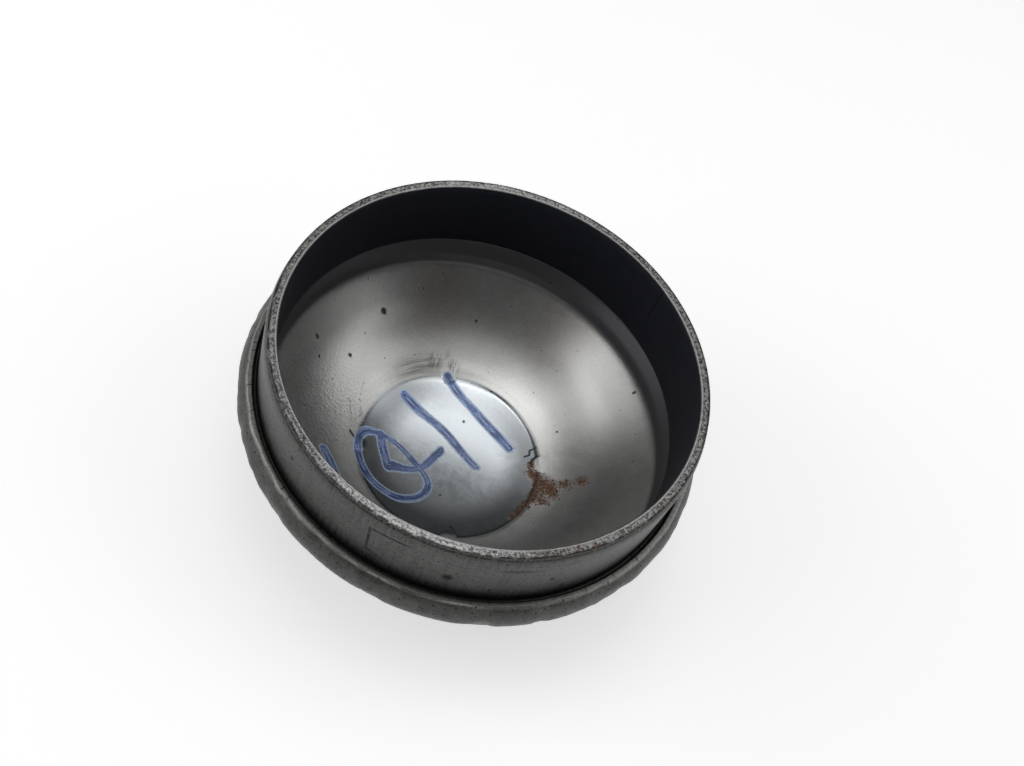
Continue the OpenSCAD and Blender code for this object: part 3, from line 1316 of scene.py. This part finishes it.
    def softened(self, r: float) -> float:
        """Height of the inside where the pad's step is rubbed smooth.

        Args:
            r: The radius.

        Returns:
            The height.
        """
        s = self.sizes
        share = (r - s.pad_r + self.soft_reach) / (2 * self.soft_reach)
        share = share * share * (3 - 2 * share)
        floor = s.sheet + s.pad_dish * (r / s.pad_edge[0]) ** 2
        dome = s.dome_c[1] - math.sqrt(s.dome_r**2 - (r - s.dome_c[0]) ** 2)
        return floor * (1 - share) + dome * share

    def turning(self, rings: list[Ring]) -> Plan:
        """Plans the turning: a grid of rings and spokes, wrapped round the axis.

        Args:
            rings: The outline.

        Returns:
            The tree and its inputs.
        """
        s = self.sizes
        p = Plan("turned_shell")
        across = p.size("Spokes", float(self.parts_round))
        count = p.size("Rings", float(len(rings)))
        lug_turn = p.size("Lug turn", math.radians(s.lug_turn))
        lug_r = p.size("Lug radius", s.lug_r * MM)
        reach = p.size("Lug reach", s.lug_reach * MM)
        pad_r = p.size("Pad radius", s.pad_r * MM)
        slope = p.size("Step slope", s.pad_slope * MM)
        dome_r = p.size("Dome radius", s.dome_r * MM)
        dome_c = p.size("Dome centre", s.dome_c[0] * MM)
        dish = p.size("Pad dish", s.pad_dish * MM)
        tear = p.size("Tear depth", self.tear_depth * MM)
        dent = p.size("Dent depth", self.dent_depth * MM)
        soft_turn = p.size("Rubbed side", math.radians(self.soft_turn))
        steel = p.given("Steel", "Material", None)

        sheet = {"Size_X": 1.0, "Size_Y": 1.0, "Vertices_X": across + 1, "Vertices_Y": count}
        grid = p.node("GeometryNodeMeshGrid", None, **sheet).outputs[0]
        gx, gy, _ = p.position()
        turn = (gx + 0.5) * (2 * math.pi)
        row = ((gy + 0.5) * (count - 1)).whole()
        source = p.entry.outputs["Geometry"]
        place = p.node("GeometryNodeInputPosition").outputs[0]
        at = p.node("ShaderNodeSeparateXYZ", None, Vector=p.sample(source, place, Reading.PLACE, row))
        r, z = Wire(p.tree, at.outputs[0]), Wire(p.tree, at.outputs[2])
        held = grid
        for name in MARKS:
            held = p.keep(held, name, p.sample(source, p.stored(name), Reading.NUMBER, row))

        # The lugs draw the pad's edge in.
        centre = pad_r - reach + lug_r
        pitch = 2 * math.pi / s.lug_count
        swing = (turn - lug_turn).folded(pitch)
        across_lug = centre * swing.sine()
        in_lug = (lug_r * lug_r - across_lug * across_lug).most(0.0).root()
        tip = centre * swing.cosine() - in_lug
        in_reach = 1 - across_lug.size().over(lug_r)
        foot = pad_r - slope
        foot_in = in_reach * (foot - tip).most(0.0)
        top_in = in_reach * (pad_r - tip - 0.12 * MM).most(0.0)
        floor_pull = Wire(p.tree, p.stored("floor_pull"))
        dome_pull = Wire(p.tree, p.stored("dome_pull"))
        new_r = r - floor_pull * foot_in - dome_pull * top_in
        drop = (dome_r * dome_r - (r - dome_c) ** 2).root() - (dome_r * dome_r - (new_r - dome_c) ** 2).root()
        on_dome = dome_pull.over(0.001)
        on_floor = floor_pull.over(0.001)
        rubbed = 0.15 + 0.80 * (turn - soft_turn).folded(2 * math.pi).size().rise(1.30, 0.55)
        new_z = z + on_dome * drop + on_floor * dish * (new_r * new_r - r * r) / (foot * foot)
        new_z = new_z + rubbed * Wire(p.tree, p.stored("soft"))

        new_place = p.vector(new_r * turn.cosine(), new_r * turn.sine(), new_z)
        laid = p.node("GeometryNodeSetPosition", None, Geometry=held, Position=new_place).outputs[0]
        # The bead's round side is dented here and there.
        knock = (p.noise(190.0, 11.0, 3.0) - 0.46).most(0.0).least(0.22) * dent * 4
        knock = knock * Wire(p.tree, p.stored("bead"))
        cx, cy, _ = p.position()
        far = (cx * cx + cy * cy).root()
        rust: Wire | None = None
        for spot in self.patch.spots:
            away = ((cx - spot.x * MM) ** 2 + (cy - spot.y * MM) ** 2).root().rise(spot.reach * MM, 0.0)
            rust = away if rust is None else rust + away
        laid = p.keep(laid, "rust", rust * Wire(p.tree, p.stored("inside")))
        inward = p.vector(-cx * knock / far, -cy * knock / far, 0.0)
        laid = p.node("GeometryNodeSetPosition", None, Geometry=laid, Offset=inward).outputs[0]
        # The mouth's face is torn by the shear.
        rough = (p.noise(900.0, 2.0, 3.0) - 0.42).most(0.0) * tear * 4
        slow = (p.noise(70.0, 5.0, 1.0) - 0.3).most(0.0) * tear
        fall = Wire(p.tree, p.stored("rim")) * (rough + slow)
        down = p.vector(0.0, 0.0, -fall)
        torn = p.node("GeometryNodeSetPosition", None, Geometry=laid, Offset=down).outputs[0]
        shut = p.node("GeometryNodeMergeByDistance", None, Geometry=torn, Distance=1e-6).outputs[0]
        smooth = p.node("GeometryNodeSetShadeSmooth", None, Geometry=shut).outputs[0]
        p.finish(smooth, steel)
        return p

    def build(self, steel: bpy.types.Material) -> bpy.types.Object:
        """Makes the shell.

        Args:
            steel: Its material.

        Returns:
            The finished piece.
        """
        rings = self.outline()
        points = [(q.r * MM, 0.0, q.z * MM) for q in rings]
        line = plain_mesh("outline", points, [(i, i + 1) for i in range(len(rings) - 1)])
        for name in MARKS:
            marks = line.data.attributes.new(name, "FLOAT", "POINT")
            marks.data.foreach_set("value", [getattr(q, name) for q in rings])
        plan = self.turning(rings)
        plan.values = {k: (steel if v is None else v) for k, v in plan.values.items()}
        return grown(line, plan, "cap_shell")


@dataclass
class Crumbs:
    """Grains of rust that lie scattered over the rusty spots, half sunk in the steel."""

    sizes: CapSizes
    patch: RustPatch = RustPatch()
    per_spot: int = 46
    # Least and most radius of a grain, and how much of a spot's reach they fill.
    least: float = 0.04
    most: float = 0.15
    fill: float = 0.8

    def material(self) -> bpy.types.Material:
        """Makes the dull brown of the grains.

        Returns:
            The material.
        """
        t = Tones()
        f = Finish("rust_crumbs")
        colour = f.blend(t.rust_dark, t.rust, f.noise(1.4, 5.0, 2.0, 0.7).rise(0.38, 0.60))
        colour = f.blend(colour, t.rust_pale, f.noise(2.6, 8.0, 1.0).rise(0.58, 0.70) * 0.6)
        join(f.tree, colour, f.shader.inputs["Base Color"])
        f.shader.inputs["Roughness"].default_value = 0.85
        return f.material

    def scatter(self) -> Plan:
        """Plans the scatter.

        Returns:
            The tree and its inputs.
        """
        s = self.sizes
        p = Plan("scattered_crumbs")
        count = p.size("Grains per spot", float(self.per_spot))
        least, most = p.size("Least size", self.least * MM), p.size("Most size", self.most * MM)
        dome_r, dome_c = p.size("Dome radius", s.dome_r * MM), p.size("Dome centre", s.dome_c[0] * MM)
        dome_z = p.size("Dome centre height", s.dome_c[1] * MM)
        pad_r, sheet = p.size("Pad radius", s.pad_r * MM), p.size("Sheet", s.sheet * MM)
        dish = p.size("Pad dish", s.pad_dish * MM)
        rust = p.given("Rust", "Material", None)
        source = p.entry.outputs["Geometry"]
        copies = p.node("GeometryNodeDuplicateElements", {"domain": "POINT"}, Geometry=source, Amount=count)
        turn = p.chance(0.0, 2 * math.pi, 3)
        reach = Wire(p.tree, p.stored("reach")) * p.chance(0.0, 1.0, 4) ** 0.62
        x, y, _ = p.position()
        x, y = x + reach * turn.cosine(), y + reach * turn.sine()
        r = (x * x + y * y).root()
        on_dome = r.over(pad_r)
        z = on_dome * (dome_z - (dome_r * dome_r - (r - dome_c) ** 2).root())
        z = z + (1 - on_dome) * (sheet + dish * r * r / (pad_r * pad_r))
        place = p.vector(x, y, z)
        laid = p.node("GeometryNodeSetPosition", None, Geometry=copies.outputs[0], Position=place).outputs[0]
        grain = p.node("GeometryNodeMeshIcoSphere", None, Radius=1.0, Subdivisions=2).outputs[0]
        wide = least + (most - least) * p.chance(0.0, 1.0, 5) ** 2.4
        spin = p.vector(p.chance(-0.5, 0.5, 6), p.chance(-0.5, 0.5, 7), p.chance(0.0, 6.3, 8))
        size = p.vector(wide, wide * p.chance(0.6, 1.3, 9), wide * 0.62)
        strewn = p.node(
            "GeometryNodeInstanceOnPoints", None, Points=laid, Instance=grain, Rotation=spin, Scale=size
        )
        p.finish(strewn.outputs[0], rust)
        return p

    def build(self) -> bpy.types.Object:
        """Makes the grains.

        Returns:
            The finished piece.
        """
        spots = plain_mesh("rusty_spots", [(q.x * MM, q.y * MM, 0.0) for q in self.patch.spots])
        marks = spots.data.attributes.new("reach", "FLOAT", "POINT")
        marks.data.foreach_set("value", [q.reach * self.fill * MM for q in self.patch.spots])
        plan = self.scatter()
        rust = self.material()
        plan.values = {k: (rust if v is None else v) for k, v in plan.values.items()}
        return grown(spots, plan, "rust_crumbs")


@dataclass(frozen=True)
class Viewpoint:
    """The photograph's camera, as it stands to the cap."""

    # The photograph's width in pixels, and its focal length and its middle in the same.
    image_px: float = 1024.0
    focal_px: float = 1200.0
    middle_px: float = 379.0
    # The eye in millimetres, and the directions of the picture's right and up.
    eye: tuple[float, float, float] = (0.0, -99.63, 160.69)
    right: tuple[float, float, float] = (0.9135, 0.3714, 0.1661)
    up: tuple[float, float, float] = (-0.3996, 0.7423, 0.5378)

    def build(self) -> bpy.types.Object:
        """Makes the camera and sets it as the scene's.

        Returns:
            The camera object.
        """
        data = bpy.data.cameras.new("camera")
        data.sensor_width = 36.0
        data.lens = self.focal_px / self.image_px * data.sensor_width
        data.shift_x = (self.image_px / 2 - self.middle_px) / self.image_px
        data.clip_start = 0.005
        camera = bpy.data.objects.new("camera", data)
        bpy.context.scene.collection.objects.link(camera)
        right = Vector(self.right).normalized()
        back = right.cross(Vector(self.up)).normalized()
        up = back.cross(right)
        turned = Matrix((right, up, back)).transposed().to_4x4()
        camera.matrix_world = Matrix.Translation(Vector(self.eye) * MM) @ turned
        bpy.context.scene.camera = camera
        return camera


BLACK = (0.0, 0.0, 0.0)
WHITE = (1.0, 1.0, 1.0, 1.0)


@dataclass(frozen=True)
class Lamp:
    """One soft box that faces the cap.

    Its turn and height are in degrees, its size and distance in metres, and a glow of 1 is white.
    """

    name: str
    turn: float
    height: float
    wide: float
    tall: float
    glow: float
    distance: float = 0.45


@dataclass
class Studio:
    """Pale floor, a white horizon with a dim ceiling, and soft boxes."""

    floor_colour: Colour = (0.86, 0.86, 0.86)
    # How bright the floor glows near the cap, where 1 is white, and between which distances in
    # metres it fades back from plain white.
    floor_lift: float = 0.52
    floor_fade: Pair = (0.60, 0.12)
    floor_side: float = 3.0
    # The ceiling's brightness, and the heights, as shares of straight up, where the white horizon
    # has faded into it and where it starts to.
    ceiling: float = 0.08
    horizon: Pair = (0.42, 0.05)
    lamps: tuple[Lamp, ...] = (
        Lamp("box_left", 205.0, 28.0, 0.34, 0.26, 1.60),
        Lamp("box_left_low", 182.0, 17.0, 0.20, 0.14, 1.40),
        Lamp("box_left_up", 192.0, 54.0, 0.22, 0.20, 0.66),
        Lamp("box_right", 8.0, 26.0, 0.34, 0.24, 0.88),
        Lamp("box_right_up", 28.0, 50.0, 0.24, 0.22, 1.05),
        Lamp("box_back", 90.0, 66.0, 0.26, 0.13, 1.22),
        Lamp("box_back_high", 90.0, 78.0, 0.26, 0.12, 0.90),
        Lamp("box_top_left", 165.0, 75.0, 0.18, 0.16, 1.60),
        Lamp("box_over", 285.0, 78.0, 0.30, 0.16, 0.45),
    )
    target: tuple[float, float, float] = (0.0, 0.0, 15.0)

    def surroundings(self) -> None:
        """White to the camera; to everything else a white horizon under a dim ceiling."""
        world = bpy.data.worlds.new("surroundings")
        bpy.context.scene.world = world
        world.use_nodes = True
        tree = world.node_tree
        tree.nodes.clear()
        path = add_node(tree, "ShaderNodeLightPath")
        coordinates = add_node(tree, "ShaderNodeTexCoord")
        split = add_node(tree, "ShaderNodeSeparateXYZ", None, {0: coordinates.outputs["Generated"]})
        low = Wire(tree, split.outputs[2]).rise(*self.horizon)
        seen = Wire(tree, path.outputs["Is Camera Ray"]).most(Wire(tree, path.outputs["Is Transmission Ray"]))
        strength = seen.most(low).most(self.ceiling)
        background = add_node(tree, "ShaderNodeBackground", None, {"Color": WHITE, "Strength": strength})
        add_node(tree, "ShaderNodeOutputWorld", None, {0: background.outputs[0]})

    def lamp(self, lamp: Lamp) -> None:
        """Adds one soft box that faces the cap.

        Args:
            lamp: The soft box.
        """
        data = bpy.data.lights.new(lamp.name, "AREA")
        data.shape = "RECTANGLE"
        data.size, data.size_y = lamp.wide, lamp.tall
        data.energy = math.pi * lamp.wide * lamp.tall * lamp.glow
        made = bpy.data.objects.new(lamp.name, data)
        a, e = math.radians(lamp.turn), math.radians(lamp.height)
        away = Vector((math.cos(a) * math.cos(e), math.sin(a) * math.cos(e), math.sin(e)))
        made.location = Vector(self.target) * MM + away * lamp.distance
        made.rotation_mode = "QUATERNION"
        made.rotation_quaternion = away.to_track_quat("Z", "Y")
        bpy.context.scene.collection.objects.link(made)

    def floor(self) -> bpy.types.Object:
        """A pale floor, lit near the cap so that it keeps the shadow, and plain white further out.

        Returns:
            The floor.
        """
        side = self.floor_side
        mesh = bpy.data.meshes.new("floor")
        corners = [(-side, -side, 0), (side, -side, 0), (side, side, 0), (-side, side, 0)]
        mesh.from_pydata(corners, [], [(0, 1, 2, 3)])
        made = bpy.data.objects.new("floor", mesh)
        bpy.context.scene.collection.objects.link(made)
        material = bpy.data.materials.new("pale_floor")
        material.use_nodes = True
        tree = material.node_tree
        tree.nodes.clear()
        coordinates = add_node(tree, "ShaderNodeTexCoord")
        place = coordinates.outputs["Object"]
        reach = add_node(tree, "ShaderNodeVectorMath", {"operation": "LENGTH"}, {0: place})
        near = Wire(tree, reach.outputs["Value"]).rise(*self.floor_fade)
        ground = blend(tree, BLACK, self.floor_colour, near)
        matt = add_node(tree, "ShaderNodeBsdfDiffuse", None, {"Color": ground})
        path = add_node(tree, "ShaderNodeLightPath")
        seen = Wire(tree, path.outputs["Is Camera Ray"]).most(Wire(tree, path.outputs["Is Glossy Ray"]))
        seen = seen.most(Wire(tree, path.outputs["Is Transmission Ray"]))
        strength = seen * (1 - near * (1 - self.floor_lift))
        glow = add_node(tree, "ShaderNodeEmission", None, {"Color": WHITE, "Strength": strength})
        both = add_node(tree, "ShaderNodeAddShader", None, {0: matt.outputs[0], 1: glow.outputs[0]})
        add_node(tree, "ShaderNodeOutputMaterial", None, {0: both.outputs[0]})
        made.data.materials.append(material)
        return made

    def build(self) -> bpy.types.Object:
        """Builds the studio.

        Returns:
            The floor.
        """
        bpy.context.scene.view_settings.view_transform = "Standard"
        self.surroundings()
        for lamp in self.lamps:
            self.lamp(lamp)
        return self.floor()


def declare(piece: bpy.types.Object, replaces: bool = False) -> None:
    """Hangs a piece on the cap's body, and hides the cap's solid where the piece stands for it.

    Args:
        piece: The finished piece.
        replaces: Whether it stands for the cap's solid.
    """
    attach(piece, BODY)
    if replaces:
        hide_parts(NODE)
    log.info("%s: %d faces", piece.name, len(piece.data.polygons))


def main() -> None:
    """Builds the camera, the cap and the studio."""
    logging.basicConfig(level=logging.INFO, format="%(name)s: %(message)s")
    Viewpoint().build()
    sizes = CapSizes()
    steel = SteelFinish(sizes).build()
    shell = Shell(sizes).build(steel)
    declare(shell, replaces=True)
    declare(Crumbs(sizes).build())
    Studio().build()


if __name__ == "__main__":
    main()
